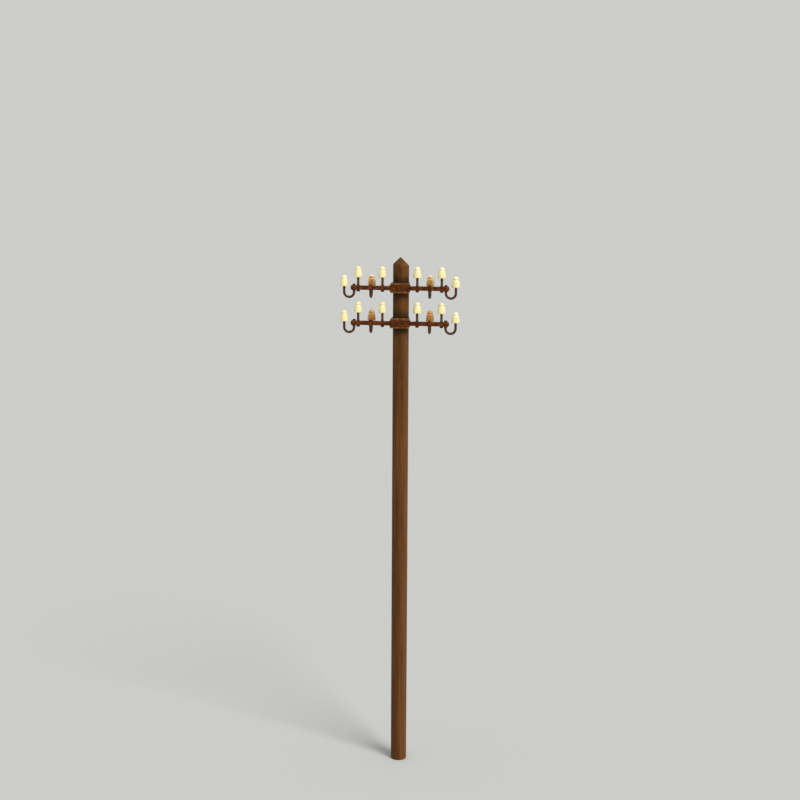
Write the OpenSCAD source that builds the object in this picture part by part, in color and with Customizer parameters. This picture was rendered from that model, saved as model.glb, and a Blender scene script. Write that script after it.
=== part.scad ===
// Telegraph mast for a 1:87 (H0) model railway: a round wooden pole with a cut
// point, two crossarms clamped to its front, and eight insulators on each arm.
// Millimetres. Z is up, X runs along the crossarms, and -Y is the front, the
// side that carries them. The origin is the centre of the pole's foot, at
// ground level; the planting spigot reaches below it.

/* [Pole] */
// Diameter of the round pole
pole_d = 2.15; // [1.9:0.05:2.3]
// Height of the pole's tip above the ground
pole_h = 70; // [40:1:90]
// Slope of the cut point, in degrees from the horizontal
point_slope = 44; // [30:1:50]
// Lean of the cut point to the right, in degrees
point_lean = 0.5; // [0:0.5:5]
// How far the point lies left of the pole's axis
point_shift = 0.07; // [0:0.01:0.15]
// Width of the blunt end of the point
point_blunt = 0.12; // [0.06:0.02:0.2]

/* [Planting spigot] */
// Diameter of the spigot that plants the mast
spigot_d = 1; // [0.8:0.1:1.2]
// Length of the spigot below the foot
spigot_out = 8; // [4:0.5:15]
// Diameter of the spigot's thicker root inside the pole
root_d = 1.4; // [1.3:0.05:1.5]
// Length of the root
root_l = 5; // [3:0.5:10]
// Chamfer at the free end of the spigot
spigot_chamfer = 0.15; // [0.05:0.05:0.3]

/* [Crossarms] */
// Distance from the tip down to the centre of the upper crossarm
upper_drop = 4; // [3.6:0.05:6]
// Distance between the centres of the two crossarms
arm_spacing = 4.7; // [4.6:0.1:6]
// Height of the crossarm's bar
arm_h = 0.58; // [0.5:0.02:0.7]
// Depth of the bar from front to back
arm_depth = 0.5; // [0.46:0.02:0.7]
// Radius of the bar's long edges
arm_round = 0.06; // [0.03:0.01:0.1]
// Radius of the ball at each end of the crossarm
ball_r = 0.43; // [0.4:0.01:0.5]
// How far the ball's centre lies outside the end hook's shank
ball_out = 0.06; // [0:0.01:0.1]
// Distance between the flats above and below on the ball
ball_flats = 0.72; // [0.6:0.02:0.76]

/* [Stations, from the middle of the mast] */
// Distance to the inner straight pins
inner_pin_x = 2.32; // [2.2:0.02:2.6]
// Distance to the shanks of the hooks that turn to the rear
rear_hook_x = 3.93; // [3.6:0.01:4.2]
// Distance to the outer straight pins
outer_pin_x = 5.57; // [5.3:0.01:5.6]
// Distance to the shanks of the hooks at the ends
end_hook_x = 6.12; // [6.1:0.01:6.5]

/* [Saddle and clamp] */
// Depth of the flat on the pole that the saddle is let into
seat_depth = 0.15; // [0.1:0.01:0.2]
// Wall of the saddle between the pole and the crossarm
saddle_wall = 0.2; // [0.15:0.01:0.3]
// Height of the saddle
saddle_h = 1.33; // [1.2:0.01:1.6]
// Thickness of the saddle's upper and lower flanges
flange_t = 0.25; // [0.15:0.01:0.27]
// How far the flanges stand forward of the saddle's wall
flange_depth = 0.44; // [0.3:0.02:0.6]
// Width taken off each corner of the saddle
corner_w = 0.18; // [0.1:0.01:0.3]
// Height taken off each corner of the saddle
corner_h = 0.34; // [0.25:0.01:0.45]
// Thickness of the strap round the back of the pole
strap_t = 0.08; // [0.06:0.01:0.12]
// Metal left outside the head of each clamp bolt
clamp_edge = 0.01; // [0.01:0.01:0.06]
// Diameter of the clamp bolts
bolt_d = 0.14; // [0.1:0.01:0.16]
// Width across the corners of the clamp bolts' heads and nuts
bolt_head_d = 0.2; // [0.2:0.01:0.3]
// Height of the clamp bolts' heads and nuts
bolt_head_h = 0.1; // [0.08:0.01:0.15]

/* [Pins and hooks] */
// Diameter of the wire of the pins and hooks
wire_d = 0.33; // [0.28:0.01:0.34]
// Diameter of the collar that seats a pin or hook on the crossarm
collar_d = 0.46; // [0.44:0.02:0.5]
// Thickness of the collar
collar_t = 0.08; // [0.05:0.01:0.12]
// Width across the corners of a straight pin's nut
pin_nut_d = 0.5; // [0.44:0.01:0.52]
// Height of a straight pin's nut
pin_nut_h = 0.2; // [0.12:0.01:0.25]
// Width across the corners of a hook's nut
hook_nut_d = 0.44; // [0.4:0.01:0.5]
// Height of a hook's nut
hook_nut_h = 0.12; // [0.08:0.01:0.2]
// Length of thread that shows past each nut
thread_out = 0.03; // [0.01:0.01:0.06]
// Distance between the two legs of a hook
hook_pitch = 1.33; // [1.25:0.01:1.45]
// Distance from the crossarm's centre down to the centre of a hook's bend
hook_drop = 0.6; // [0.5:0.01:0.65]

/* [Insulators] */
// Height of an insulator
insulator_h = 1.48; // [1.3:0.01:1.5]
// Diameter of its domed head
head_d = 0.83; // [0.75:0.01:0.95]
// Diameter of its skirt
skirt_d = 1.1; // [1:0.01:1.15]
// Radius of the rolled rim at the foot of the skirt
rim_r = 0.07; // [0.04:0.01:0.09]
// Distance from the top down to the tie groove
groove_drop = 0.43; // [0.4:0.01:0.5]
// Radius of the tie groove's round section
groove_r = 0.07; // [0.05:0.01:0.1]
// Depth of the tie groove
groove_depth = 0.045; // [0.02:0.005:0.06]
// Diameter of the cup under the skirt
cup_d = 0.8; // [0.6:0.01:0.84]
// Depth of the cup
cup_depth = 0.14; // [0.08:0.01:0.2]
// Depth of the bore that takes the wire
bore_depth = 0.9; // [0.7:0.01:1]
// Height of a straight pin's insulator above the crossarm's centre
pin_rise = 1.4; // [1.2:0.01:1.5]
// Height of a hook's insulator above the crossarm's centre
hook_rise = 0.2; // [0.1:0.01:0.3]

/* [Fits] */
// Clearance on each side between a shank and its hole
fit = 0.01; // [0.005:0.005:0.015]

/* [Hidden] */
$fn = 48;
eps = 0.01;

wood = [0.33, 0.21, 0.12];
rust_brown = [0.34, 0.16, 0.07];
dark_brown = [0.25, 0.13, 0.08];
brass = [0.78, 0.62, 0.3];
cream = [0.98, 0.93, 0.7];
caramel = [0.62, 0.43, 0.24];

pole_r = pole_d / 2;
wire_r = wire_d / 2;
bolt_hole_d = bolt_d + 2 * fit;
wire_hole_d = wire_d + 2 * fit;

// Front-to-back places, as distances forward of the pole's axis
seat_y = pole_r - seat_depth;
floor_y = seat_y + saddle_wall;
arm_y = floor_y + arm_depth / 2;
arm_front_y = floor_y + arm_depth;

// Clamp
clamp_x = pole_r + fit + strap_t + bolt_head_d / 2 + fit;
saddle_half_w = clamp_x + bolt_head_d / 2 + clamp_edge;
pad_h = saddle_h - 2 * flange_t - 2 * fit;

// How far a pin or hook reaches into its insulator
wire_in = bore_depth - fit;
// Distance from the middle to the centre of each ball
ball_x = end_hook_x + ball_out;

upper_z = pole_h - upper_drop;
lower_z = upper_z - arm_spacing;
ARMS = [["upper", upper_z], ["lower", lower_z]];
SIDES = ["left", "right"];

// Station name, its support and the support's distance from the middle
STATIONS = [
    ["inner", "pin", inner_pin_x],
    ["rear", "hook", rear_hook_x],
    ["outer", "pin", outer_pin_x],
    ["end", "hook", end_hook_x]
];
PINS = [for (s = STATIONS) if (s[1] == "pin") s];
HOOKS = [for (s = STATIONS) if (s[1] == "hook") s];

ARM_PARTS = ["crossarm", "saddle", "strap", "clamp_bolts", "clamp_nuts", "pin_nuts", "hook_nuts"];

// ---- shared shapes ----

// Children on the right-hand side, or mirrored to the left-hand side
module on_side(side) {
    mirror([side == "left" ? 1 : 0, 0, 0]) children();
}

module on_both_sides() {
    for (side = SIDES) on_side(side) children();
}

// Hexagonal nut, with its lower face at the origin
module nut(across, height, hole) {
    difference() {
        cylinder(h = height, d = across, $fn = 6);
        translate([0, 0, -eps]) cylinder(h = height + 2 * eps, d = hole);
    }
}

// Rod along +Y from one distance behind the pole's axis to another
module rod_y(from, to, d, sides = $fn) {
    translate([0, from, 0]) rotate([-90, 0, 0]) cylinder(h = to - from, d = d, $fn = sides);
}

// Rectangle with true round corners, centred
module round_rectangle(w, h, r) {
    square([w - 2 * r, h], center = true);
    square([w, h - 2 * r], center = true);
    for (x = [-1, 1], y = [-1, 1])
        translate([x * (w / 2 - r), y * (h / 2 - r)]) circle(r);
}

// Outline of the saddle from the front: a rectangle with its corners cut
module saddle_outline() {
    top = saddle_h / 2;
    polygon([
        [-saddle_half_w, corner_h - top], [corner_w - saddle_half_w, -top],
        [saddle_half_w - corner_w, -top], [saddle_half_w, corner_h - top],
        [saddle_half_w, top - corner_h], [saddle_half_w - corner_w, top],
        [corner_w - saddle_half_w, top], [-saddle_half_w, top - corner_h]
    ]);
}

// Stands an outline up facing the front, with its back this far forward
module upright(back, thick) {
    translate([0, -back, 0]) rotate([90, 0, 0]) linear_extrude(thick) children();
}

// ---- pole and its foot ----

module pole() {
    point_top = point_blunt / 2 * tan(point_slope);
    point_h = pole_h + point_top;
    color(wood) difference() {
        intersection() {
            cylinder(h = pole_h, d = pole_d);
            translate([-point_shift, 0, point_h]) rotate([180, point_lean, 0])
                cylinder(h = 2 * point_h, r1 = 0, r2 = 2 * point_h / tan(point_slope));
        }
        for (arm = ARMS)
            translate([-pole_d, -seat_y - pole_d, arm[1] - saddle_h / 2 - fit])
                cube([2 * pole_d, pole_d, saddle_h + 2 * fit]);
        translate([0, 0, -eps]) cylinder(h = root_l + fit + eps, d = root_d + 2 * fit);
    }
}

// Stepped pin: a root bedded flush in the pole, and a spigot with a chamfered end
module foot_spigot() {
    color(brass) {
        translate([0, 0, -spigot_out])
            cylinder(h = spigot_chamfer, d1 = spigot_d - 2 * spigot_chamfer, d2 = spigot_d);
        translate([0, 0, spigot_chamfer - spigot_out])
            cylinder(h = spigot_out - spigot_chamfer, d = spigot_d);
        cylinder(h = root_l, d = root_d);
    }
}

// ---- crossarm and its clamp, at the height of the crossarm's centre ----

module crossarm() {
    color(rust_brown) difference() {
        union() {
            translate([-ball_x, -arm_y, 0]) rotate([90, 0, 90]) linear_extrude(2 * ball_x)
                round_rectangle(arm_depth, arm_h, arm_round);
            upright(floor_y, arm_depth) intersection() {
                saddle_outline();
                square([2 * saddle_half_w, pad_h], center = true);
            }
            on_both_sides() intersection() {
                translate([ball_x, -arm_y, 0]) sphere(ball_r);
                translate([ball_x, -arm_y, 0])
                    cube([2 * ball_r, 2 * ball_r, ball_flats], center = true);
            }
        }
        on_both_sides() {
            for (s = STATIONS)
                translate([s[2], -arm_y, -ball_r]) cylinder(h = 2 * ball_r, d = wire_hole_d);
            translate([clamp_x, 0, 0]) rod_y(-arm_front_y - eps, -floor_y + eps, bolt_hole_d);
        }
    }
}

module saddle() {
    color(rust_brown) difference() {
        union() {
            upright(seat_y, saddle_wall) saddle_outline();
            upright(floor_y, flange_depth) difference() {
                saddle_outline();
                square([3 * saddle_half_w, saddle_h - 2 * flange_t], center = true);
            }
        }
        on_both_sides() translate([clamp_x, 0, 0]) rod_y(-floor_y - eps, -seat_y + eps, bolt_hole_d);
    }
}

// Strap round the back of the pole, with an ear on each side for a clamp bolt.
// The ears' corners are cut like the saddle's.
module strap() {
    inner_r = pole_r + fit;
    outer_r = inner_r + strap_t;
    color(dark_brown) difference() {
        union() {
            translate([0, 0, -saddle_h / 2]) linear_extrude(saddle_h) {
                difference() {
                    circle(outer_r);
                    circle(inner_r);
                    translate([-outer_r - eps, -outer_r - eps])
                        square([2 * (outer_r + eps), outer_r + eps]);
                }
                on_both_sides() translate([inner_r, -seat_y]) square([strap_t, seat_y]);
            }
            upright(seat_y - strap_t, strap_t) difference() {
                saddle_outline();
                square([2 * inner_r, 2 * saddle_h], center = true);
            }
        }
        on_both_sides() translate([clamp_x, 0, 0])
            rod_y(-seat_y - eps, -seat_y + strap_t + eps, bolt_hole_d);
    }
}

module clamp_bolts() {
    color(dark_brown) on_both_sides() translate([clamp_x, 0, 0]) {
        rod_y(-arm_front_y - bolt_head_h, -arm_front_y, bolt_head_d, 6);
        rod_y(-arm_front_y, -seat_y + strap_t + bolt_head_h + thread_out, bolt_d);
    }
}

module clamp_nuts() {
    color(dark_brown) on_both_sides() translate([clamp_x, -seat_y + strap_t, 0])
        rotate([-90, 0, 0]) nut(bolt_head_d, bolt_head_h, bolt_hole_d);
}

// ---- pins, hooks and their nuts, at the height of the crossarm's centre ----

module straight_pin(x) {
    foot = -arm_h / 2 - pin_nut_h - thread_out;
    color(dark_brown) translate([x, -arm_y, 0]) {
        translate([0, 0, foot]) cylinder(h = pin_rise + wire_in - foot, d = wire_d);
        translate([0, 0, arm_h / 2]) cylinder(h = collar_t, d = collar_d);
    }
}

// U-shaped hook: up through the crossarm, and round to the insulator's leg.
// seat is the half height of the metal that it passes through.
module hook(x, turn, seat) {
    top = seat + hook_nut_h + thread_out;
    color(dark_brown) translate([x, -arm_y, 0]) rotate([0, 0, turn]) {
        translate([0, 0, -hook_drop]) cylinder(h = top + hook_drop, d = wire_d);
        translate([0, 0, -seat - collar_t]) cylinder(h = collar_t, d = collar_d);
        translate([hook_pitch / 2, 0, -hook_drop]) rotate([-90, 0, 0])
            rotate_extrude(angle = 180) translate([hook_pitch / 2, 0]) circle(wire_r);
        translate([hook_pitch, 0, -hook_drop])
            cylinder(h = hook_rise + wire_in + hook_drop, d = wire_d);
    }
}

module rear_hook() {
    hook(rear_hook_x, 90, arm_h / 2);
}

module end_hook() {
    hook(end_hook_x, 0, ball_flats / 2);
}

module pin_nuts() {
    color(dark_brown) on_both_sides() for (s = PINS)
        translate([s[2], -arm_y, -arm_h / 2 - pin_nut_h]) nut(pin_nut_d, pin_nut_h, wire_hole_d);
}

module hook_nuts() {
    color(dark_brown) on_both_sides() {
        translate([rear_hook_x, -arm_y, arm_h / 2]) nut(hook_nut_d, hook_nut_h, wire_hole_d);
        translate([end_hook_x, -arm_y, ball_flats / 2]) nut(hook_nut_d, hook_nut_h, wire_hole_d);
    }
}

// ---- insulators ----

// Half section of an insulator: domed head, tie groove, skirt, cup and bore
module insulator_section() {
    head_r = head_d / 2;
    skirt_r = skirt_d / 2;
    head_z = insulator_h - head_r;
    difference() {
        union() {
            intersection() {
                translate([0, head_z]) circle(head_r);
                square([head_r, insulator_h]);
            }
            polygon([
                [0, 0], [skirt_r - rim_r, 0], [skirt_r, rim_r], [head_r, head_z], [0, head_z]
            ]);
            translate([skirt_r - rim_r, rim_r]) circle(rim_r);
        }
        translate([head_r - groove_depth + groove_r, insulator_h - groove_drop]) circle(groove_r);
        translate([-eps, -eps]) square([wire_r + fit + eps, bore_depth + eps]);
        translate([-eps, -eps]) square([cup_d / 2 + eps, cup_depth + eps]);
    }
}

module insulator(x, back, rise, glaze) {
    color(glaze) translate([x, back - arm_y, rise]) rotate_extrude() insulator_section();
}

module station_support(name) {
    if (name == "inner") straight_pin(inner_pin_x);
    if (name == "rear") rear_hook();
    if (name == "outer") straight_pin(outer_pin_x);
    if (name == "end") end_hook();
}

module station_insulator(name) {
    if (name == "inner") insulator(inner_pin_x, 0, pin_rise, cream);
    if (name == "rear") insulator(rear_hook_x, hook_pitch, hook_rise, caramel);
    if (name == "outer") insulator(outer_pin_x, 0, pin_rise, cream);
    if (name == "end") insulator(end_hook_x + hook_pitch, 0, hook_rise, cream);
}

// ---- the nodes ----

pole();
foot_spigot();
for (arm = ARMS) translate([0, 0, arm[1]]) {
    crossarm();
    saddle();
    strap();
    clamp_bolts();
    clamp_nuts();
    pin_nuts();
    hook_nuts();
    for (side = SIDES) on_side(side) for (s = STATIONS) {
        place = str(arm[0], "_", s[0], "_", side, "_");
        station_support(s[0]);
        station_insulator(s[0]);
    }
}
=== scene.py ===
"""Looks of the model telegraph mast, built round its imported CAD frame.

Meshes are made in millimetres and scaled to metres at the end. Places come from the boxes of
the CAD nodes. Z is up, X runs along the crossarms and -Y is the front, which carries them.
"""

import math

import bmesh
import bpy
from mathutils import Matrix, Vector, noise

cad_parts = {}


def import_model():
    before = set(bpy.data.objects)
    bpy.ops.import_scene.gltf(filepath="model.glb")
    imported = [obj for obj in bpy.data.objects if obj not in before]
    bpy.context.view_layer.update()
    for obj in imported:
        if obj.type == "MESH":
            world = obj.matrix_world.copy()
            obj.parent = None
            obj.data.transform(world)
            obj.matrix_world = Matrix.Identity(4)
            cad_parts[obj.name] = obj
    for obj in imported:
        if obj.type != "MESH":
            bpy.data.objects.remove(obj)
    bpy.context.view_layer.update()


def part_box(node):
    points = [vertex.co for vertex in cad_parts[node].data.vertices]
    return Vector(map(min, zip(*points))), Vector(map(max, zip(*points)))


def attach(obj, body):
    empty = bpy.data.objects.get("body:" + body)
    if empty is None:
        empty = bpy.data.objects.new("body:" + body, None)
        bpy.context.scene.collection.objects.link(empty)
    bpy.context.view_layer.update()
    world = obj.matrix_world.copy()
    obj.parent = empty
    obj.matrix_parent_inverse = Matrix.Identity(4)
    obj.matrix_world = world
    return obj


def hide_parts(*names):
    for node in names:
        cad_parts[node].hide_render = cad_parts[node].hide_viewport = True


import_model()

MM = 0.001
ARMS = ("upper", "lower")
SIDES = {"left": -1, "right": 1}
PIN_STATIONS = ("inner", "outer")
HOOK_STATIONS = ("rear", "end")

# ---- named sizes that no box gives, in millimetres ----

FIT = 0.01
EDGE = 0.02  # radius of a broken edge
END_ROUND = 0.15  # rounding of a wire's end, as a share of its radius

POINT_SLOPE = math.radians(44)
POINT_LEAN = math.radians(0.5)
POINT_SHIFT = 0.07
POINT_BLUNT = 0.06  # radius of the blunt end
POLE_COLUMNS = 144
RING_STEP = 0.35  # height between the rings of the pole's skin
SEAT_LIP = 0.004  # height of the step at each end of a saddle's seat
SEAT_CLEAR = 0.1  # no other ring lies closer to the end of a seat
SHOULDER_BREAK = 0.03  # how far the edge below the point is worn back
ROOT_BORE_R = 0.71
ROOT_BORE_DEPTH = 5.01
SPIGOT_R = 0.5
SPIGOT_CHAMFER = 0.15
CRACK_DEPTH = 0.045
CRACK_W = 0.03
CRACK_FADE = 3  # length over which a crack's end runs out
CRACKS = [  # turn in radians, lowest and highest height
    (math.radians(-118), 8, 41),
    (math.radians(-52), 22, 57),
    (math.radians(-80), 46, 59),
    (math.radians(20), 3, 33),
    (math.radians(95), 15, 64),
    (math.radians(160), 30, 55),
]

BAR_DEPTH = 0.5
BAR_H = 0.58
BAR_ROUND = 0.08
BALL_R = 0.43
BALL_FLATS = 0.72
FLANGE_T = 0.25
SADDLE_WALL = 0.2
CORNER_W = 0.18
CORNER_H = 0.34
STRAP_T = 0.08
CAST_EDGE = 0.03  # radius of the edges of the block and the plate
FLANGE_EDGE = 0.035
STRAP_EDGE = 0.015
BOLT_R = 0.07
BOLT_HEAD_R = 0.1
BOLT_HEAD_H = 0.1
ARM_VOXEL = 0.028
SADDLE_VOXEL = 0.022

WIRE_R = 0.165
COLLAR_R = 0.23
COLLAR_T = 0.08
PIN_NUT_R = 0.25
HOOK_NUT_R = 0.22
HOOK_NUT_H = 0.12
THREAD_OUT = 0.03
NUT_CHAMFER = math.radians(30)  # slope of the chamfer on a nut's corners
FILLET = 0.012  # between a collar and the wire
BEND_LEAD = 0.3  # straight wire above a hook's bend
BEND_STEPS = 24

HEAD_SHARE = 0.755  # radius of an insulator's head, as a share of its skirt's
RIM_R = 0.07
CUP_R = 0.4
CUP_DEPTH = 0.14
CUP_ROUND = 0.03
BORE_DEPTH = 0.9
GROOVE_DROP = 0.43
GROOVE_R = 0.07
GROOVE_DEPTH = 0.045
BELLY = 0.04  # how far the skirt swells past a straight cone

SOOT_AND_SHADE_REACH = 1.5  # how far the soot and painted shade run above and below a saddle
SOOT_AND_SHADE_SLANT = 0.35  # how much farther they run for each millimetre to the left, away from the lamp
DARK_SPOTS = [  # dark spots on the pole's front: across, below the tip, half width, half height, strength
    (-0.02, 1.6, 0.42, 1.2, 0.55),
    (0.95, 2.95, 0.5, 0.9, 1.0),
]


# ---- small helpers ----

def box_mm(node):
    """Lowest corner, highest corner and centre of a CAD node, in millimetres."""
    lo, hi = (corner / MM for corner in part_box(node))
    return lo, hi, (lo + hi) / 2


def srgb(*levels):
    """A colour given as 0-255 screen levels, as linear RGBA."""
    shares = [level / 255 for level in levels]
    return [s / 12.92 if s <= 0.04045 else ((s + 0.055) / 1.055) ** 2.4 for s in shares] + [1.0]


def smoothstep(low, high, x):
    """0 below low, 1 above high and a smooth rise between them."""
    t = min(max((x - low) / (high - low), 0.0), 1.0)
    return t * t * (3 - 2 * t)


def arc(centre_r, centre_z, radius, start, stop, steps):
    """Points (r, z) on an arc between two angles in degrees."""
    angles = (math.radians(start + (stop - start) * i / steps) for i in range(steps + 1))
    return [(centre_r + radius * math.cos(a), centre_z + radius * math.sin(a)) for a in angles]


def circle(centre, u, v, radius, count):
    """Points of a circle in the plane of u and v."""
    turns = (2 * math.pi * i / count for i in range(count))
    return [centre + radius * (math.cos(t) * u + math.sin(t) * v) for t in turns]


def level_circle(centre, radius, count):
    """Points of a level circle, from +X anticlockwise."""
    return circle(centre, Vector((1, 0, 0)), Vector((0, 1, 0)), radius, count)


def upright(y, z):
    """Stands an outline (u, v) up at a height, with its depth w running back from y."""
    return lambda u, v, w: Vector((u, y + w, z + v))


# ---- mesh builders ----

def skin(bm, rings, start=None, end=None, loop=False):
    """Quads between rings of equal length; start and end are points that close the ends."""
    made = [[bm.verts.new(point) for point in ring] for ring in rings]
    count = len(made[0])
    pairs = list(zip(made, made[1:])) + ([(made[-1], made[0])] if loop else [])
    for near, far in pairs:
        for i in range(count):
            j = (i + 1) % count
            bm.faces.new((near[i], near[j], far[j], far[i]))
    for ring, point in ((made[0][::-1], start), (made[-1], end)):
        if point is not None:
            tip = bm.verts.new(point)
            for i in range(count):
                bm.faces.new((ring[i], ring[(i + 1) % count], tip))


def lathe(bm, profile, at, count=48):
    """Turned solid. The profile is a list of (r, z); its ends are closed where r is 0."""
    rings = [level_circle(at + Vector((0, 0, z)), r, count) for r, z in profile if r > 0]
    ends = [at + Vector((0, 0, p[1])) if p[0] == 0 else None for p in (profile[0], profile[-1])]
    skin(bm, rings, *ends)


def tube(bm, path, radius, count=20):
    """Round rod along a flat or straight path, with slightly rounded ends."""
    tangents = [(b - a).normalized() for a, b in zip(path, path[1:])]
    # any direction across a straight path will do, and a bent one gives its own
    side = tangents[0].cross(Vector((0.31, 0.47, 0.83))).normalized()
    for tangent in tangents:
        if tangent.cross(tangents[0]).length > 0.1:
            side = tangent.cross(tangents[0]).normalized()
    rings = []
    for i, point in enumerate(path):
        before = tangents[max(i - 1, 0)]
        after = tangents[min(i, len(tangents) - 1)]
        forward = (before + after).normalized()
        across = side.cross(forward).normalized()
        rings.append(circle(point, across, side, radius, count))
    first, last = tangents[0], tangents[-1]
    cap = END_ROUND * radius
    rings[0] = circle(path[0] + cap * first, side.cross(first), side, radius, count)
    rings.insert(0, circle(path[0], side.cross(first), side, radius - cap, count))
    rings[-1] = circle(path[-1] - cap * last, side.cross(last), side, radius, count)
    rings.append(circle(path[-1], side.cross(last), side, radius - cap, count))
    skin(bm, rings, path[0], path[-1])


def prism(bm, outline, depth, place, edge):
    """Extruded outline with broken edges. place takes (u, v, w) to a point; w runs 0 to depth."""
    low = [bm.verts.new(place(u, v, 0)) for u, v in outline]
    high = [bm.verts.new(place(u, v, depth)) for u, v in outline]
    count = len(outline)
    faces = [bm.faces.new(low[::-1]), bm.faces.new(high)]
    for i in range(count):
        j = (i + 1) % count
        faces.append(bm.faces.new((low[i], low[j], high[j], high[i])))
    edges = {e for f in faces for e in f.edges if e.calc_face_angle(0) > math.radians(25)}
    bmesh.ops.bevel(bm, geom=list(edges), offset=edge, segments=2, affect="EDGES")


def hexagon_reach(turn, across):
    """Distance from the centre to a hexagon's side at an angle, for a width across corners."""
    sector = math.radians(60)
    return across * math.cos(sector / 2) / math.cos((turn % sector) - sector / 2)


def nut(bm, base, up, corner_r, hole_r, height, count=72):
    """Hexagonal nut or bolt head with chamfered corners. hole_r of 0 makes a solid head."""
    u = up.orthogonal().normalized()
    v = up.cross(u)
    flat_r = corner_r * math.cos(math.radians(30)) * 1.01
    rings = []
    for end in (0, 1):
        levels = []
        for chamfered in (True, False):
            ring = []
            for i in range(count):
                turn = 2 * math.pi * i / count
                reach = hexagon_reach(turn, corner_r)
                drop = max(reach - flat_r, 0.0) * math.tan(NUT_CHAMFER)
                r = min(reach, flat_r) if chamfered else reach
                z = 0.0 if chamfered else drop + 0.02 * height
                level = z if end == 0 else height - z
                ring.append(base + up * level + r * (math.cos(turn) * u + math.sin(turn) * v))
            levels.append(ring)
        rings += levels if end == 0 else levels[::-1]
    if hole_r:
        rings.append(circle(base + up * height, u, v, hole_r, count))
        rings.insert(0, circle(base, u, v, hole_r, count))
        skin(bm, rings, loop=True)
    else:
        skin(bm, rings, base, base + up * height)


def roughen(bm, depth, scale, seed):
    """Moves each point inward along its normal by up to depth, so nothing grows."""
    bm.normal_update()
    offset = Vector((seed * 7.3, seed * 3.1, seed * 5.7))
    for vert in bm.verts:
        share = 0.5 + 0.5 * noise.noise(vert.co * scale + offset)
        vert.co -= vert.normal * depth * min(max(share, 0.0), 1.0)


def fuse(bm, voxel):
    """Unites overlapping shells into one skin by voxel remeshing, with soft corners."""
    mesh = bpy.data.meshes.new("fuse")
    bm.to_mesh(mesh)
    body = bpy.data.objects.new("fuse", mesh)
    bpy.context.scene.collection.objects.link(body)
    remesh = body.modifiers.new("remesh", "REMESH")
    remesh.mode = "VOXEL"
    remesh.voxel_size = voxel
    relax = body.modifiers.new("relax", "SMOOTH")
    relax.factor = 0.5
    relax.iterations = 3
    evaluated = body.evaluated_get(bpy.context.evaluated_depsgraph_get())
    fused = bmesh.new()
    fused.from_mesh(evaluated.to_mesh())
    evaluated.to_mesh_clear()
    bpy.data.objects.remove(body)
    bpy.data.meshes.remove(mesh)
    return fused


def piece(name, bm, nodes, finish, sharp_deg=40):
    """Turns a bmesh in millimetres into a finished piece that stands for its CAD nodes."""
    bmesh.ops.recalc_face_normals(bm, faces=bm.faces)
    mesh = bpy.data.meshes.new(name)
    bm.to_mesh(mesh)
    bm.free()
    mesh.transform(Matrix.Scale(MM, 4))
    mesh.shade_smooth()
    mesh.set_sharp_from_angle(angle=math.radians(sharp_deg))
    mesh.materials.append(finish)
    body = bpy.data.objects.new(name, mesh)
    bpy.context.scene.collection.objects.link(body)
    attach(body, "root")
    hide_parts(*nodes)


# ---- materials ----

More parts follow.
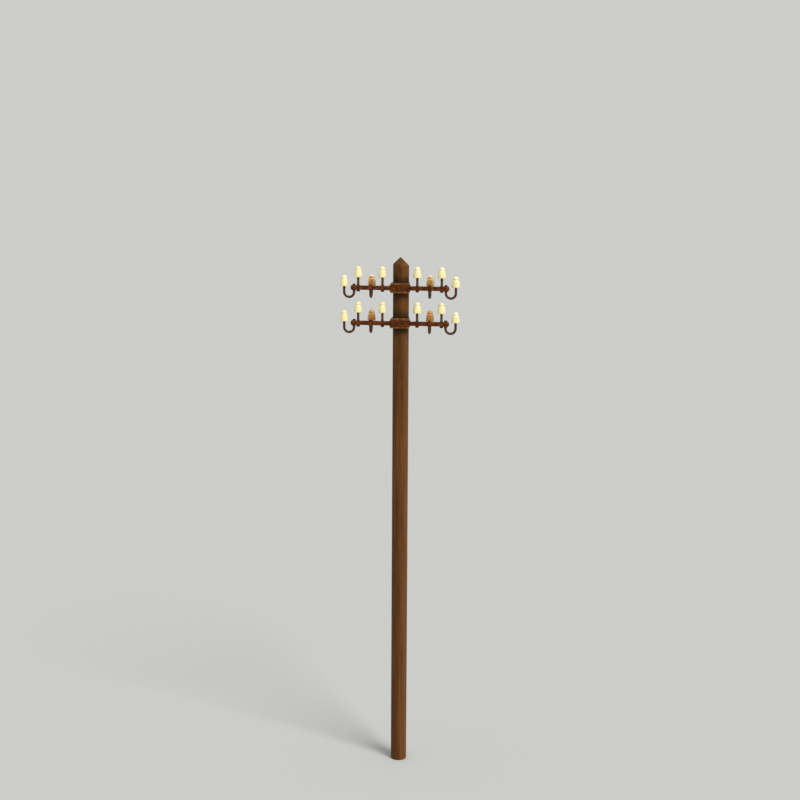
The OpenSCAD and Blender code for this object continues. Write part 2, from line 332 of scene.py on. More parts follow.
class Finish:
    """A node material on a Principled shader, with textures placed in millimetres."""

    def __init__(self, name, roughness):
        self.material = bpy.data.materials.new(name)
        self.material.use_nodes = True
        self.nodes = self.material.node_tree.nodes
        self.links = self.material.node_tree.links
        self.shader = self.nodes["Principled BSDF"]
        self.shader.inputs["Roughness"].default_value = roughness
        coords = self.nodes.new("ShaderNodeTexCoord")
        self.millimetres = self.stretch(coords.outputs["Object"], (1 / MM, 1 / MM, 1 / MM))

    def stretch(self, vector, scale):
        """Vector with its X, Y and Z scaled."""
        node = self.nodes.new("ShaderNodeMapping")
        node.inputs["Scale"].default_value = scale
        self.links.new(vector, node.inputs["Vector"])
        return node.outputs["Vector"]

    def noise(self, scale, detail=3.0, stretch=(1, 1, 1), roughness=0.55):
        """Noise from 0 to 1, with about scale waves to a millimetre."""
        node = self.nodes.new("ShaderNodeTexNoise")
        node.inputs["Scale"].default_value = scale
        node.inputs["Detail"].default_value = detail
        node.inputs["Roughness"].default_value = roughness
        self.links.new(self.stretch(self.millimetres, stretch), node.inputs["Vector"])
        return node.outputs["Fac"]

    def ramp(self, factor, *stops):
        """Colour ramp from (place, colour) stops."""
        node = self.nodes.new("ShaderNodeValToRGB")
        elements = node.color_ramp.elements
        while len(elements) < len(stops):
            elements.new(0.5)
        for element, (place, colour) in zip(elements, stops):
            element.position = place
            element.color = colour
        self.links.new(factor, node.inputs["Fac"])
        return node.outputs["Color"]

    def grey(self, factor, low, high):
        """Factor stretched so that low becomes 0 and high becomes 1."""
        node = self.nodes.new("ShaderNodeMapRange")
        node.interpolation_type = "SMOOTHSTEP"
        node.inputs["From Min"].default_value = low
        node.inputs["From Max"].default_value = high
        self.links.new(factor, node.inputs["Value"])
        return node.outputs["Result"]

    def maths(self, operation, *values):
        """Result of a math node on numbers and sockets."""
        node = self.nodes.new("ShaderNodeMath")
        node.operation = operation
        for value, socket in zip(values, node.inputs):
            if isinstance(value, (int, float)):
                socket.default_value = value
            else:
                self.links.new(value, socket)
        return node.outputs["Value"]

    def blend(self, factor, first, second):
        """Mix of two colours, from the first at 0 to the second at 1."""
        node = self.nodes.new("ShaderNodeMix")
        node.data_type = "RGBA"
        sockets = (node.inputs[0], node.inputs[6], node.inputs[7])
        for value, socket in zip((factor, first, second), sockets):
            if isinstance(value, (int, float, list)):
                socket.default_value = value
            else:
                self.links.new(value, socket)
        return node.outputs[2]

    def axis(self, name):
        """Place along X, Y or Z, in millimetres."""
        node = self.nodes.new("ShaderNodeSeparateXYZ")
        self.links.new(self.millimetres, node.inputs["Vector"])
        return node.outputs[name]

    def spot(self, centre, half_size):
        """1 in the middle of an ellipsoid given in millimetres, fading to 0 at its surface."""
        inner = self.nodes.new("ShaderNodeMapping")
        inner.inputs["Scale"].default_value = [1 / half for half in half_size]
        inner.inputs["Location"].default_value = [-c / half for c, half in zip(centre, half_size)]
        self.links.new(self.millimetres, inner.inputs["Vector"])
        distance = self.nodes.new("ShaderNodeVectorMath")
        distance.operation = "LENGTH"
        self.links.new(inner.outputs["Vector"], distance.inputs[0])
        return self.grey(distance.outputs["Value"], 1.0, 0.3)

    def facing(self, name):
        """How far the surface faces along X, Y or Z, from -1 to 1."""
        geometry = self.nodes.new("ShaderNodeNewGeometry")
        node = self.nodes.new("ShaderNodeSeparateXYZ")
        self.links.new(geometry.outputs["Normal"], node.inputs["Vector"])
        return node.outputs[name]

    def warm_reflections(self, level):
        """Weak warm reflections, as on oiled wood or thin brown paint."""
        self.shader.inputs["Specular IOR Level"].default_value = level
        self.shader.inputs["Specular Tint"].default_value = (1.0, 0.62, 0.32, 1.0)

    def gloss(self, weight):
        """Clear glossy coat."""
        self.shader.inputs["Coat Weight"].default_value = weight
        self.shader.inputs["Coat Roughness"].default_value = 0.08

    def pale_rim(self, weight, spread, tint):
        """Pale light caught along the outline, as in a thick clear glaze."""
        self.shader.inputs["Sheen Weight"].default_value = weight
        self.shader.inputs["Sheen Roughness"].default_value = spread
        self.shader.inputs["Sheen Tint"].default_value = tint

    def scatter(self, weight, spread, distance):
        """Light that runs on under the surface, for a distance in millimetres."""
        self.shader.inputs["Subsurface Weight"].default_value = weight
        self.shader.inputs["Subsurface Radius"].default_value = spread
        self.shader.inputs["Subsurface Scale"].default_value = distance * MM

    def colour(self, socket):
        """Gives the surface its colour."""
        self.links.new(socket, self.shader.inputs["Base Color"])

    def roughness(self, socket):
        """Gives the surface its roughness, point by point."""
        self.links.new(socket, self.shader.inputs["Roughness"])

    def bump(self, height, distance, strength=1.0):
        """Bump from a height socket, with its distance in millimetres."""
        node = self.nodes.new("ShaderNodeBump")
        node.inputs["Distance"].default_value = distance * MM
        node.inputs["Strength"].default_value = strength
        self.links.new(height, node.inputs["Height"])
        self.links.new(node.outputs["Normal"], self.shader.inputs["Normal"])


def wood_finish():
    """Dark stained timber: streaks along the grain, dark spots, sooty darkening and painted shade
    above and below the saddles, and painted light on the right side.
    """
    f = Finish("pole_wood", 0.6)
    f.warm_reflections(0.2)
    streaks = f.noise(1.0, detail=4.0, stretch=(2.6, 2.6, 0.09))
    fibres = f.noise(1.0, detail=6.0, stretch=(14.0, 14.0, 0.5), roughness=0.65)
    patches = f.noise(1.0, detail=3.0, stretch=(1.1, 1.1, 0.4))
    base = f.ramp(
        f.grey(streaks, 0.32, 0.7),
        (0.0, srgb(80, 49, 22)), (0.5, srgb(92, 56, 27)), (1.0, srgb(107, 67, 34)),
    )
    dark_fibre = f.maths("MULTIPLY", f.grey(fibres, 0.5, 0.74), 0.75)
    base = f.blend(dark_fibre, base, srgb(52, 33, 17))
    pale_fibre = f.maths("MULTIPLY", f.grey(fibres, 0.46, 0.28), 0.4)
    base = f.blend(pale_fibre, base, srgb(138, 92, 50))
    rust = f.maths("MULTIPLY", f.grey(patches, 0.56, 0.74), 0.55)
    base = f.blend(rust, base, srgb(118, 60, 22))
    pole_lo, pole_hi, _ = box_mm("pole")
    # painted light: the right side, which faces the lamp, is lightened towards a paler brown
    painted_right_light = f.grey(f.axis("X"), 0.1 * pole_hi.x, pole_hi.x)
    base = f.blend(f.maths("MULTIPLY", painted_right_light, 0.3), base, srgb(140, 94, 52))
    soot_and_shade = None
    for across, drop, half_w, half_h, strength in DARK_SPOTS:
        place = (across, pole_lo.y, pole_hi.z - drop)
        dark_spot = f.maths("MULTIPLY", f.spot(place, (half_w, pole_hi.x, half_h)), strength)
        soot_and_shade = f.maths("MAXIMUM", soot_and_shade, dark_spot) if soot_and_shade else dark_spot
    # soot and painted shade above and below each saddle, reaching farther on the left, away from the
    # lamp
    for arm in ARMS:
        lo, hi, centre = box_mm(f"{arm}_saddle")
        away = f.maths("ABSOLUTE", f.maths("SUBTRACT", f.axis("Z"), centre.z))
        slanted = f.maths("ADD", away, f.maths("MULTIPLY", f.axis("X"), SOOT_AND_SHADE_SLANT))
        half_h = (hi.z - lo.z) / 2
        soot_and_shade = f.maths("MAXIMUM", soot_and_shade, f.grey(slanted, half_h + SOOT_AND_SHADE_REACH, half_h + 0.1))
    soot_and_shade = f.maths("MULTIPLY", soot_and_shade, f.grey(patches, 0.1, 0.45))
    f.colour(f.blend(f.maths("MULTIPLY", soot_and_shade, 0.85), base, srgb(40, 27, 14)))
    f.roughness(f.maths("ADD", f.maths("MULTIPLY", fibres, 0.25), 0.45))
    f.bump(fibres, 0.03, 0.6)
    return f.material


def paint_finish(name, dark, middle, bright, seed):
    """Brushed-on brown paint: mottled, with a painted highlight on what faces up, thin in places."""
    f = Finish(name, 0.42)
    f.warm_reflections(0.25)
    shift = (1.0 + 0.13 * seed, 1.0, 1.0 - 0.07 * seed)
    mottle = f.noise(2.2, detail=4.0, stretch=shift)
    grit = f.noise(9.0, detail=3.0, stretch=shift)
    base = f.ramp(f.grey(mottle, 0.34, 0.68), (0.0, dark), (0.5, middle), (1.0, bright))
    # painted highlight: what faces up is blended towards the bright colour
    painted_top_light = f.maths("MULTIPLY", f.grey(f.facing("Z"), 0.2, 0.9), 0.4)
    base = f.blend(painted_top_light, base, bright)
    f.colour(f.blend(f.maths("MULTIPLY", f.grey(grit, 0.56, 0.7), 0.5), base, dark))
    f.roughness(f.maths("ADD", f.maths("MULTIPLY", mottle, 0.3), 0.28))
    f.bump(f.maths("ADD", mottle, f.maths("MULTIPLY", grit, 0.4)), 0.03, 0.5)
    return f.material


def cream_finish():
    """Glossy cream: faint mottling, with painted shade in a deeper colour on the undersides."""
    f = Finish("cream_glaze", 0.16)
    cloud = f.noise(1.7, detail=2.0)
    base = f.ramp(
        f.grey(cloud, 0.35, 0.7), (0.0, srgb(255, 240, 186)), (1.0, srgb(255, 233, 168)),
    )
    # painted shade: the undersides are blended towards a deeper colour
    painted_underside_shade = f.grey(f.facing("Z"), 0.0, -0.6)
    f.colour(f.blend(f.maths("MULTIPLY", painted_underside_shade, 0.7), base, srgb(226, 203, 146)))
    f.gloss(0.6)
    f.pale_rim(0.6, 0.3, srgb(255, 240, 208))
    f.scatter(0.3, (1.0, 0.85, 0.5), 0.3)
    f.bump(f.noise(6.0, detail=2.0), 0.01, 0.25)
    return f.material


def caramel_finish(name, flank, crown):
    """Glossy brown glaze, paler on the sides that face neither front nor back and on the crown: a
    painted rim light and a painted highlight.
    """
    f = Finish(name, 0.25)
    cloud = f.noise(2.4, detail=2.0)
    base = f.ramp(
        f.grey(cloud, 0.35, 0.7), (0.0, srgb(196, 128, 24)), (1.0, srgb(172, 108, 16)),
    )
    # painted rim light: the sides that face neither front nor back are blended towards the flank
    # colour
    front_or_back = f.maths("ABSOLUTE", f.facing("Y"))
    painted_rim_light = f.maths("MULTIPLY", f.grey(front_or_back, 0.97, 0.68), 0.75)
    base = f.blend(painted_rim_light, base, flank)
    # painted highlight: what faces up is blended towards the crown colour
    thin = f.maths("MULTIPLY", f.grey(f.facing("Z"), 0.25, 0.95), 0.85)
    f.colour(f.blend(thin, base, crown))
    f.gloss(0.25)
    f.pale_rim(1.0, 0.3, flank)
    f.bump(f.noise(6.0, detail=2.0), 0.01, 0.25)
    return f.material


def brass_finish():
    """Turned brass with fine rings and a little tarnish."""
    f = Finish("spigot_brass", 0.3)
    f.shader.inputs["Metallic"].default_value = 1.0
    tarnish = f.noise(1.2, detail=4.0)
    f.colour(f.ramp(
        f.grey(tarnish, 0.35, 0.7), (0.0, srgb(214, 178, 104)), (1.0, srgb(150, 112, 60)),
    ))
    f.roughness(f.maths("ADD", f.maths("MULTIPLY", tarnish, 0.3), 0.15))
    f.bump(f.noise(1.0, detail=2.0, stretch=(0.2, 0.2, 20.0)), 0.005, 0.5)
    return f.material


def floor_finish():
    """Plain matt floor."""
    f = Finish("floor_paint", 0.9)
    f.shader.inputs["Base Color"].default_value = FLOOR_COLOUR
    f.shader.inputs["Specular IOR Level"].default_value = 0.0
    return f.material


# ---- the pole and its foot ----

def point_height(x, y, tip):
    """Height of the cut point's leaning cone above a place on the pole's section."""
    across = Vector((x - tip.x, y - tip.y))
    if across.length < 1e-6:
        return tip.z
    # the cone leans to +X, so that side of it is steeper
    lean = POINT_LEAN * across.x / across.length
    return tip.z - across.length * math.tan(POINT_SLOPE + lean)


def grain_depth(turn, z, radius):
    """Depth of the weathered surface: long fibres and a few drying cracks."""
    u = Vector((math.cos(turn), math.sin(turn), 0))
    fibre = noise.noise(Vector((u.x * 9, u.y * 9, z * 0.12)))
    fine = noise.noise(Vector((u.x * 24, u.y * 24, z * 0.5 + 40)))
    wander = 0.25 * noise.noise(Vector((z * 0.09, 3.0, 0.0)))
    depth = 0.005 + 0.006 * fibre + 0.004 * fine
    for crack_turn, low, high in CRACKS:
        off = math.remainder(turn - crack_turn - wander, 2 * math.pi) * radius
        length = smoothstep(low, low + CRACK_FADE, z) * (1 - smoothstep(high - CRACK_FADE, high, z))
        depth += CRACK_DEPTH * length * math.exp(-((off / CRACK_W) ** 2))
    return max(depth, 0.0)


def pole_seats():
    """Lowest and highest place of the flat behind each saddle, and how far forward it lies."""
    seats = []
    for arm in ARMS:
        lo, hi, _ = box_mm(f"{arm}_saddle")
        seats.append((lo.z - FIT, hi.z + FIT, hi.y))
    return seats


def pole_levels(foot_z, shoulder_z, seats):
    """Heights of the shaft's rings, with a close pair at each end of a seat."""
    levels = [foot_z + RING_STEP * i for i in range(int((shoulder_z - foot_z) / RING_STEP))]
    for low, high, _ in seats:
        levels = [z for z in levels if min(abs(z - low), abs(z - high)) > SEAT_CLEAR]
        levels += [low - SEAT_LIP, low, high, high + SEAT_LIP]
    return sorted(levels)


def shaft_rings(foot, radius, turns, levels, seats):
    """Rings of the round shaft, cut flat where the saddles sit."""
    rings = []
    for z in levels:
        broken = EDGE * 1.2 * (1 - smoothstep(0, 0.3, z - foot.z))
        ring = []
        for turn in turns:
            r = radius - broken - grain_depth(turn, z, radius)
            x, y = r * math.cos(turn), r * math.sin(turn)
            for low, high, back in seats:
                if low <= z <= high:
                    y = max(y, back)
            ring.append(Vector((foot.x + x, foot.y + y, z)))
        rings.append(ring)
    return rings


def shoulder_rings(foot, radius, turns, shoulders, last):
    """Rings that lead from the last level up to the slanting edge of the point."""
    rings = []
    for share in (0.35, 0.7, 1.0):
        ring = []
        for turn, shoulder in zip(turns, shoulders):
            z = last + (shoulder - last) * share
            worn = SHOULDER_BREAK if share == 1.0 else 0.0
            r = radius - grain_depth(turn, z, radius) - worn
            ring.append(Vector((foot.x + r * math.cos(turn), foot.y + r * math.sin(turn), z)))
        rings.append(ring)
    return rings


def point_rings(foot, radius, turns, shoulders, tip):
    """Rings over the point, with the shallow cuts of the blade that shaped it."""
    rings = []
    for share in (0.06, 0.2, 0.4, 0.6, 0.8, 0.94):
        ring = []
        for turn, shoulder in zip(turns, shoulders):
            x, y = math.cos(turn), math.sin(turn)
            rim = Vector((foot.x + radius * x, foot.y + radius * y, shoulder))
            point = rim.lerp(tip, share * (1 - POINT_BLUNT / radius))
            cut = 0.012 + 0.022 * abs(math.sin(4.5 * turn + 1.0)) * (1 - share)
            cut += 0.012 * noise.noise(Vector((8 * x, 8 * y, 4 * share)))
            ring.append(point - Vector((0, 0, max(cut, 0.0))))
        rings.append(ring)
    return rings


def pole():
    """Round timber with a cut point, a flat behind each saddle and a bore in its foot."""
    lo, hi, centre = box_mm("pole")
    radius = (hi.x - lo.x) / 2
    turns = [2 * math.pi * i / POLE_COLUMNS for i in range(POLE_COLUMNS)]
    tip = Vector((centre.x - POINT_SHIFT, centre.y, hi.z + POINT_BLUNT * math.tan(POINT_SLOPE)))
    shoulders = [point_height(radius * math.cos(t), radius * math.sin(t), tip) for t in turns]
    seats = pole_seats()
    levels = pole_levels(lo.z, min(shoulders), seats)
    foot = Vector((centre.x, centre.y, lo.z))
    bore_top = foot + Vector((0, 0, ROOT_BORE_DEPTH))
    crown = Vector((tip.x, tip.y, hi.z))
    rings = [level_circle(bore_top, ROOT_BORE_R, POLE_COLUMNS)]
    rings += [level_circle(foot, r, POLE_COLUMNS) for r in (ROOT_BORE_R, radius - 2 * EDGE)]
    rings += shaft_rings(foot, radius, turns, levels, seats)
    rings += shoulder_rings(foot, radius, turns, shoulders, levels[-1])
    rings += point_rings(foot, radius, turns, shoulders, tip)
    rings.append(level_circle(crown, POINT_BLUNT * 0.8, POLE_COLUMNS))
    bm = bmesh.new()
    skin(bm, rings, bore_top, crown)
    piece("pole_timber", bm, ["pole"], wood_finish(), sharp_deg=50)


def foot_spigot():
    """Turned spigot below the foot, with a thicker root in the pole."""
    lo, hi, centre = box_mm("foot_spigot")
    root_r = (hi.x - lo.x) / 2
    at = Vector((centre.x, centre.y, 0))
    profile = [(0, lo.z), (SPIGOT_R - SPIGOT_CHAMFER, lo.z), (SPIGOT_R, lo.z + SPIGOT_CHAMFER)]
    profile += [(SPIGOT_R, -EDGE), (SPIGOT_R, 0)]
    profile += [(root_r - EDGE, 0), (root_r, EDGE), (root_r, hi.z - EDGE), (root_r - EDGE, hi.z)]
    profile += [(0, hi.z)]
    bm = bmesh.new()
    lathe(bm, profile, at, 64)
    piece("foot_spigot_turned", bm, ["foot_spigot"], brass_finish())


# ---- crossarm, saddle, strap and clamp bolts ----

def cut_outline(half_w, half_h, corner_w, corner_h):
    """Rectangle with its four corners cut, anticlockwise."""
    return [
        (half_w, corner_h - half_h), (half_w, half_h - corner_h),
        (half_w - corner_w, half_h), (corner_w - half_w, half_h),
        (-half_w, half_h - corner_h), (-half_w, corner_h - half_h),
        (corner_w - half_w, -half_h), (half_w - corner_w, -half_h),
    ]


def clipped_outline(half_w, half_h, corner_w, corner_h, clip_h):
    """The same outline, cut off level at clip_h above and below."""
    left_h = max(clip_h - (half_h - corner_h), 0.001)
    return cut_outline(half_w, clip_h, left_h * corner_w / corner_h, left_h)


def add_bar(bm, centre, reach):
    """The crossarm's bar, with round long edges and rings along its length."""
    corner_y, corner_z = BAR_DEPTH / 2 - BAR_ROUND, BAR_H / 2 - BAR_ROUND
    section = []
    for quarter, (y_way, z_way) in enumerate(((1, 1), (-1, 1), (-1, -1), (1, -1))):
        first = 90 * quarter
        section += arc(y_way * corner_y, z_way * corner_z, BAR_ROUND, first, first + 90, 5)
    steps = 60
    rings = []
    for i in range(steps + 1):
        x = -reach + 2 * reach * i / steps
        rings.append([Vector((x, centre.y + y, centre.z + z)) for y, z in section])
    skin(bm, rings, Vector((-reach, centre.y, centre.z)), Vector((reach, centre.y, centre.z)))


def add_balls(bm, centre, reach):
    """A ball with two flats at each end of the bar."""
    flat = BALL_FLATS / 2
    edge_angle = math.degrees(math.asin(flat / BALL_R))
    profile = [(0, -flat)] + arc(0, 0, BALL_R, -edge_angle, edge_angle, 12) + [(0, flat)]
    for side in SIDES.values():
        lathe(bm, profile, Vector((side * reach, centre.y, centre.z)), 32)


def crossarm(arm, finish, seed):
    """Bar, thick middle block and end balls, fused like one casting."""
    node = f"{arm}_crossarm"
    _, hi, centre = box_mm(node)
    saddle_lo, saddle_hi, _ = box_mm(f"{arm}_saddle")
    half_w = (saddle_hi.x - saddle_lo.x) / 2
    half_h = (saddle_hi.z - saddle_lo.z) / 2
    ball_x = hi.x - BALL_R
    bm = bmesh.new()
    add_bar(bm, centre, ball_x)
    block = clipped_outline(half_w, half_h, CORNER_W, CORNER_H, half_h - FLANGE_T - FIT)
    prism(bm, block, BAR_DEPTH, upright(centre.y - BAR_DEPTH / 2, centre.z), CAST_EDGE)
    add_balls(bm, centre, ball_x)
    bmesh.ops.recalc_face_normals(bm, faces=bm.faces)
    fused = fuse(bm, ARM_VOXEL)
    bm.free()
    roughen(fused, 0.014, 1.9, seed)
    piece(f"{arm}_crossarm_casting", fused, [node], finish, sharp_deg=60)


def saddle(arm, finish, seed):
    """Plate behind the crossarm with a flange above and below it."""
    node = f"{arm}_saddle"
    lo, hi, centre = box_mm(node)
    half_w, half_h = (hi.x - lo.x) / 2, (hi.z - lo.z) / 2
    bm = bmesh.new()
    plate = cut_outline(half_w, half_h, CORNER_W, CORNER_H)
    prism(bm, plate, SADDLE_WALL, upright(hi.y - SADDLE_WALL, centre.z), CAST_EDGE)
    flare = FLANGE_T * CORNER_W / CORNER_H
    flange = [
        (half_w - CORNER_W, half_h), (CORNER_W - half_w, half_h),
        (CORNER_W - half_w - flare, half_h - FLANGE_T),
        (half_w - CORNER_W + flare, half_h - FLANGE_T),
    ]
    for outline in (flange, [(u, -v) for u, v in reversed(flange)]):
        prism(bm, outline, hi.y - lo.y, upright(lo.y, centre.z), FLANGE_EDGE)
    bmesh.ops.recalc_face_normals(bm, faces=bm.faces)
    fused = fuse(bm, SADDLE_VOXEL)
    bm.free()
    roughen(fused, 0.012, 2.6, seed + 4)
    piece(f"{arm}_saddle_casting", fused, [node], finish, sharp_deg=60)


def strap(arm, finish):
    """Band round the back of the pole, with a cut-cornered ear on each side."""
    node = f"{arm}_strap"
    lo, hi, centre = box_mm(node)
    half_w, half_h = hi.x, (hi.z - lo.z) / 2
    outer_r = hi.y
    inner_r = outer_r - STRAP_T
    steps = 40
    outline = [(outer_r, lo.y)] + arc(0, 0, outer_r, 0, 180, steps) + [(-outer_r, lo.y)]
    outline += [(-inner_r, lo.y)] + arc(0, 0, inner_r, 180, 0, steps) + [(inner_r, lo.y)]
    bm = bmesh.new()
    prism(bm, outline, 2 * half_h, lambda u, v, w: Vector((u, v, lo.z + w)), STRAP_EDGE)
    ear = [
        (inner_r + FIT, -half_h), (half_w - CORNER_W, -half_h), (half_w, CORNER_H - half_h),
        (half_w, half_h - CORNER_H), (half_w - CORNER_W, half_h), (inner_r + FIT, half_h),
    ]
    for side in SIDES.values():
        placed = [(side * u, v) for u, v in ear]
        prism(bm, placed, STRAP_T, upright(lo.y, centre.z), STRAP_EDGE)
    piece(f"{arm}_strap_band", bm, [node], finish, sharp_deg=30)


def clamp_bolts(arm, finish):
    """The two bolts that pull saddle and strap together, with their heads to the front."""
    node = f"{arm}_clamp_bolts"
    lo, hi, centre = box_mm(node)
    bolt_x = hi.x - BOLT_HEAD_R
    back = Vector((0, 1, 0))
    bm = bmesh.new()
    for side in SIDES.values():
        head = Vector((side * bolt_x, lo.y, centre.z))
        nut(bm, head, back, BOLT_HEAD_R, 0, BOLT_HEAD_H)
        tube(bm, [head + back * BOLT_HEAD_H * 0.5, Vector((side * bolt_x, hi.y, centre.z))], BOLT_R)
    piece(f"{arm}_clamp_bolt_pair", bm, [node], finish, sharp_deg=30)


def clamp_nuts(arm, finish):
    """The nuts at the back of the clamp's bolts."""
    node = f"{arm}_clamp_nuts"
    lo, hi, centre = box_mm(node)
    nut_x = hi.x - BOLT_HEAD_R
    bm = bmesh.new()
    for side in SIDES.values():
        base = Vector((side * nut_x, lo.y, centre.z))
        nut(bm, base, Vector((0, 1, 0)), BOLT_HEAD_R, BOLT_R + FIT, hi.y - lo.y)
    piece(f"{arm}_clamp_nut_pair", bm, [node], finish, sharp_deg=30)


# ---- pins, hooks and their nuts ----

def collar_profile(low, high):
    """Rounded collar between two heights, on a wire."""
    round_r = 0.3 * (high - low)
    return (
        [(WIRE_R, low)]
        + arc(COLLAR_R - round_r, low + round_r, round_r, -90, 0, 3)
        + arc(COLLAR_R - round_r, high - round_r, round_r, 0, 90, 3)
        + [(WIRE_R + 0.01, high), (WIRE_R, high + FILLET)]
    )


def straight_pin(arm, station, side, finish):
    """Pin through the crossarm's bar, with a collar on top of the bar."""
    node = f"{arm}_{station}_{side}_pin"
    lo, hi, centre = box_mm(node)
    arm_centre = box_mm(f"{arm}_crossarm")[2]
    top_of_bar = arm_centre.z + BAR_H / 2
    cap = END_ROUND * WIRE_R
    profile = [(0, lo.z), (WIRE_R - cap, lo.z), (WIRE_R, lo.z + cap), (WIRE_R, top_of_bar - 0.01)]
    profile += collar_profile(top_of_bar, top_of_bar + COLLAR_T)
    profile += [(WIRE_R, hi.z - cap), (WIRE_R - cap, hi.z), (0, hi.z)]
    bm = bmesh.new()
    lathe(bm, profile, Vector((centre.x, centre.y, 0)), 32)
    piece(f"{node}_wire", bm, [node], finish, sharp_deg=50)


def hook(arm, station, side, finish):
    """U-hook: nut end up through the crossarm, bend, and leg up into the insulator."""
    node = f"{arm}_{station}_{side}_hook"
    lo, hi, centre = box_mm(node)
    arm_centre = box_mm(f"{arm}_crossarm")[2]
    insulator = box_mm(f"{arm}_{station}_{side}_insulator")[2]
    leg = Vector((insulator.x, insulator.y, 0))
    if station == "rear":
        shank = Vector((centre.x, arm_centre.y, 0))
        seat = BAR_H / 2
    else:
        shank = Vector((lo.x + COLLAR_R if side == "right" else hi.x - COLLAR_R, arm_centre.y, 0))
        seat = BALL_FLATS / 2
    bend_r = (leg - shank).length / 2
    bend_z = lo.z + WIRE_R + bend_r
    middle = (leg + shank) / 2 + Vector((0, 0, bend_z))
    outward = (shank - leg).normalized() * bend_r
    shank_top = arm_centre.z + seat + HOOK_NUT_H + THREAD_OUT
    lead_z = bend_z + BEND_LEAD
    path = [Vector((shank.x, shank.y, shank_top)), Vector((shank.x, shank.y, lead_z))]
    for i in range(BEND_STEPS + 1):
        turn = math.pi * i / BEND_STEPS
        path.append(middle + math.cos(turn) * outward - Vector((0, 0, math.sin(turn) * bend_r)))
    path += [Vector((leg.x, leg.y, lead_z)), Vector((leg.x, leg.y, hi.z))]
    bm = bmesh.new()
    tube(bm, path, WIRE_R, 28)
    under = arm_centre.z - seat
    start = under - COLLAR_T - FILLET
    profile = [(0, start), (WIRE_R - 0.02, start)]
    profile += collar_profile(under - COLLAR_T, under)[:-1] + [(0, under)]
    lathe(bm, profile, Vector((shank.x, shank.y, 0)), 32)
    piece(f"{node}_wire", bm, [node], finish, sharp_deg=50)


def nut_group(arm, kind, finish):
    """The four nuts under the straight pins, or the four on top of the hooks."""
    node = f"{arm}_{kind}_nuts"
    lo, hi, _ = box_mm(node)
    arm_centre = box_mm(f"{arm}_crossarm")[2]
    bm = bmesh.new()
    up = Vector((0, 0, 1))
    for side, way in SIDES.items():
        if kind == "pin":
            for station in PIN_STATIONS:
                x = box_mm(f"{arm}_{station}_{side}_pin")[2].x
                base = Vector((x, arm_centre.y, lo.z))
                nut(bm, base, up, PIN_NUT_R, WIRE_R + FIT, hi.z - lo.z)
        else:
            rear = box_mm(f"{arm}_rear_{side}_hook")[2].x
            end = way * (hi.x - HOOK_NUT_R)
            for x, seat in ((rear, BAR_H / 2), (end, BALL_FLATS / 2)):
                base = Vector((x, arm_centre.y, arm_centre.z + seat))
                nut(bm, base, up, HOOK_NUT_R, WIRE_R + FIT, HOOK_NUT_H)
    piece(f"{node}_hex", bm, [node], finish, sharp_deg=30)


# ---- insulators ----

def insulator_profile(height, skirt_r):
    """Half section from the bore's end, out under the skirt and up over the dome."""
    head_r = HEAD_SHARE * skirt_r
    bore_r = WIRE_R + FIT
    groove_z = height - GROOVE_DROP
    head_z = height - head_r
    core = [
        (0, BORE_DEPTH), (bore_r, BORE_DEPTH), (bore_r, CUP_DEPTH + EDGE), (bore_r + EDGE, CUP_DEPTH),
    ]
    cup = [
        (CUP_R - CUP_ROUND, CUP_DEPTH), (CUP_R, CUP_DEPTH - CUP_ROUND),
        (CUP_R, CUP_ROUND), (CUP_R + EDGE, 0.0),
    ]
    rim = arc(skirt_r - RIM_R, RIM_R, RIM_R, -90, 10, 6)
    shoulder_r = head_r - 0.005
    steps = 9
    skirt = []
    for i in range(1, steps):
        share = i / steps
        r = skirt_r + (shoulder_r - skirt_r) * share + BELLY * math.sin(math.pi * share)
        skirt.append((r, RIM_R + (groove_z - GROOVE_R - RIM_R) * share))
    groove = arc(head_r + GROOVE_R - GROOVE_DEPTH, groove_z, GROOVE_R, 235, 125, 7)
    rise = (groove_z + GROOVE_R - head_z) / head_r
    start = math.degrees(math.asin(max(-1.0, min(1.0, rise))))
    dome = arc(0, head_z, head_r, max(start, 4), 90, 14)
    return core + cup + rim + skirt + groove + dome[:-1] + [(0, height)]


def insulator(arm, station, side, finish, slot):
    """Turned bell on a pin's or a hook's upper end."""
    node = f"{arm}_{station}_{side}_insulator"
    lo, hi, centre = box_mm(node)
    bm = bmesh.new()
    profile = insulator_profile(hi.z - lo.z, (hi.x - lo.x) / 2)
    lathe(bm, profile, Vector((centre.x, centre.y, lo.z)), 56)
    piece(f"{node}_bell", bm, [node], finish, sharp_deg=50)


# ---- stage: camera, light, floor ----

CAMERA_AZIMUTH = math.radians(6.3)
CAMERA_PITCH = math.radians(9.5)
CAMERA_ROLL = math.radians(0.31)
CAMERA_DISTANCE = 212.9  # level distance from the pole's axis
CAMERA_ABOVE_TIP = 16.38
CAMERA_ASIDE = -0.053  # moves the mast to the right in the view
CAMERA_LENS = 72
SENSOR = 36
FLOOR_HALF = 20.0  # metres
FLOOR_COLOUR = srgb(203, 204, 201)
FLOOR_GAP = 0.01  # below the pole's foot, so that the two faces don't coincide
BACKDROP_COLOUR = srgb(205, 206, 203)
SKY_STRENGTH = 0.5
KEY_STRENGTH = 2.3
KEY_AZIMUTH = 44  # degrees, as are the next two
KEY_ELEVATION = 45
KEY_SPREAD = 25


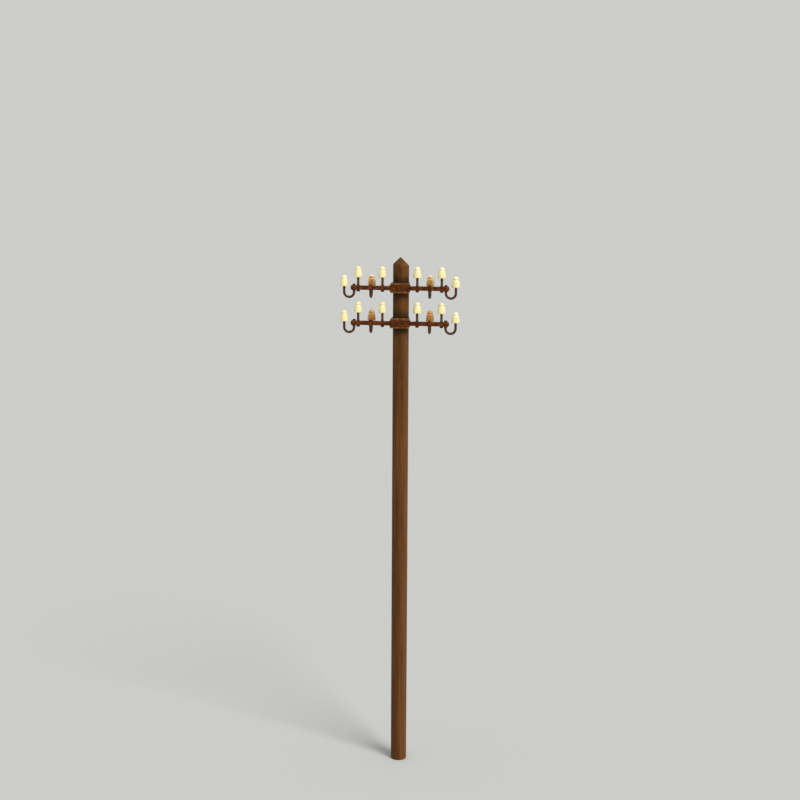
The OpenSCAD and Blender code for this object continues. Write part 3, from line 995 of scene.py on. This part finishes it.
def camera():
    """Camera a little to the right of the front, looking down."""
    tip_z = box_mm("pole")[1].z
    away = Vector((math.sin(CAMERA_AZIMUTH), -math.cos(CAMERA_AZIMUTH), 0))
    place = away * CAMERA_DISTANCE + Vector((CAMERA_ASIDE, 0, tip_z + CAMERA_ABOVE_TIP))
    data = bpy.data.cameras.new("camera")
    data.lens = CAMERA_LENS
    data.sensor_width = SENSOR
    data.clip_start = MM
    data.clip_end = 100.0
    cam = bpy.data.objects.new("camera", data)
    turn = Matrix.Rotation(CAMERA_AZIMUTH, 4, "Z")
    tilt = Matrix.Rotation(math.radians(90) - CAMERA_PITCH, 4, "X")
    roll = Matrix.Rotation(CAMERA_ROLL, 4, "Z")
    cam.matrix_world = Matrix.Translation(place * MM) @ turn @ tilt @ roll
    bpy.context.scene.collection.objects.link(cam)
    bpy.context.scene.camera = cam


def key_light():
    """One soft lamp, high on the right of the front."""
    data = bpy.data.lights.new("key", "SUN")
    data.energy = KEY_STRENGTH
    data.angle = math.radians(KEY_SPREAD)
    lamp = bpy.data.objects.new("key", data)
    lamp.rotation_euler = (math.radians(90 - KEY_ELEVATION), 0, math.radians(KEY_AZIMUTH))
    bpy.context.scene.collection.objects.link(lamp)


def world():
    """Even white light, with a pale backdrop for what the camera sees and what reflects."""
    sky = bpy.data.worlds.new("world")
    bpy.context.scene.world = sky
    sky.use_nodes = True
    nodes, links = sky.node_tree.nodes, sky.node_tree.links
    light = nodes["Background"]
    light.inputs["Color"].default_value = (1, 1, 1, 1)
    light.inputs["Strength"].default_value = SKY_STRENGTH
    backdrop = nodes.new("ShaderNodeBackground")
    backdrop.inputs["Color"].default_value = BACKDROP_COLOUR
    rays = nodes.new("ShaderNodeLightPath")
    seen = rays.outputs["Is Camera Ray"]
    for kind in ("Is Glossy Ray", "Is Transmission Ray"):
        either = nodes.new("ShaderNodeMath")
        either.operation = "MAXIMUM"
        links.new(seen, either.inputs[0])
        links.new(rays.outputs[kind], either.inputs[1])
        seen = either.outputs["Value"]
    mix = nodes.new("ShaderNodeMixShader")
    links.new(seen, mix.inputs["Fac"])
    links.new(light.outputs["Background"], mix.inputs[1])
    links.new(backdrop.outputs["Background"], mix.inputs[2])
    links.new(mix.outputs["Shader"], nodes["World Output"].inputs["Surface"])


def floor():
    """Plain floor, which isn't part of the object."""
    bm = bmesh.new()
    corners = [(-1, -1), (1, -1), (1, 1), (-1, 1)]
    bm.faces.new([bm.verts.new((FLOOR_HALF * x, FLOOR_HALF * y, -FLOOR_GAP * MM)) for x, y in corners])
    mesh = bpy.data.meshes.new("floor")
    bm.to_mesh(mesh)
    bm.free()
    mesh.materials.append(floor_finish())
    plane = bpy.data.objects.new("floor", mesh)
    bpy.context.scene.collection.objects.link(plane)


# ---- the scene ----

bpy.context.scene.view_settings.view_transform = "Standard"
camera()
key_light()
world()
floor()

arm_paint = paint_finish("arm_paint", srgb(64, 29, 9), srgb(86, 41, 14), srgb(112, 56, 22), 1)
# the saddle's paint is lighter than the arm's: a paler dry-brushed paint and a painted highlight on
# the flanges
saddle_paint_and_highlight = paint_finish("saddle_paint_and_highlight", srgb(98, 60, 29), srgb(120, 78, 41), srgb(144, 98, 55), 2)
fitting_paint = paint_finish("fitting_paint", srgb(44, 25, 17), srgb(56, 31, 21), srgb(76, 41, 28), 3)
wire_paint = paint_finish("wire_paint", srgb(58, 38, 28), srgb(74, 49, 36), srgb(96, 64, 47), 3)
cream = cream_finish()
# the upper pair's glaze has painted light in its paler flanks and crown, the lower pair's painted
# shade in its darker ones
caramel = {
    "upper": caramel_finish("upper_brown_glaze_painted_light", srgb(255, 228, 172), srgb(255, 236, 194)),
    "lower": caramel_finish("lower_brown_glaze_painted_shade", srgb(228, 186, 126), srgb(206, 172, 118)),
}

pole()
foot_spigot()
for seed, arm in enumerate(ARMS, 1):
    crossarm(arm, arm_paint, seed)
    saddle(arm, saddle_paint_and_highlight, seed)
    strap(arm, fitting_paint)
    clamp_bolts(arm, fitting_paint)
    clamp_nuts(arm, fitting_paint)
    nut_group(arm, "pin", fitting_paint)
    nut_group(arm, "hook", fitting_paint)
    for side in SIDES:
        for station in PIN_STATIONS:
            straight_pin(arm, station, side, wire_paint)
            insulator(arm, station, side, cream, "cream_glaze")
        for station in HOOK_STATIONS:
            hook(arm, station, side, wire_paint)
        insulator(arm, "end", side, cream, "cream_glaze")
        insulator(arm, "rear", side, caramel[arm], "brown_glaze")
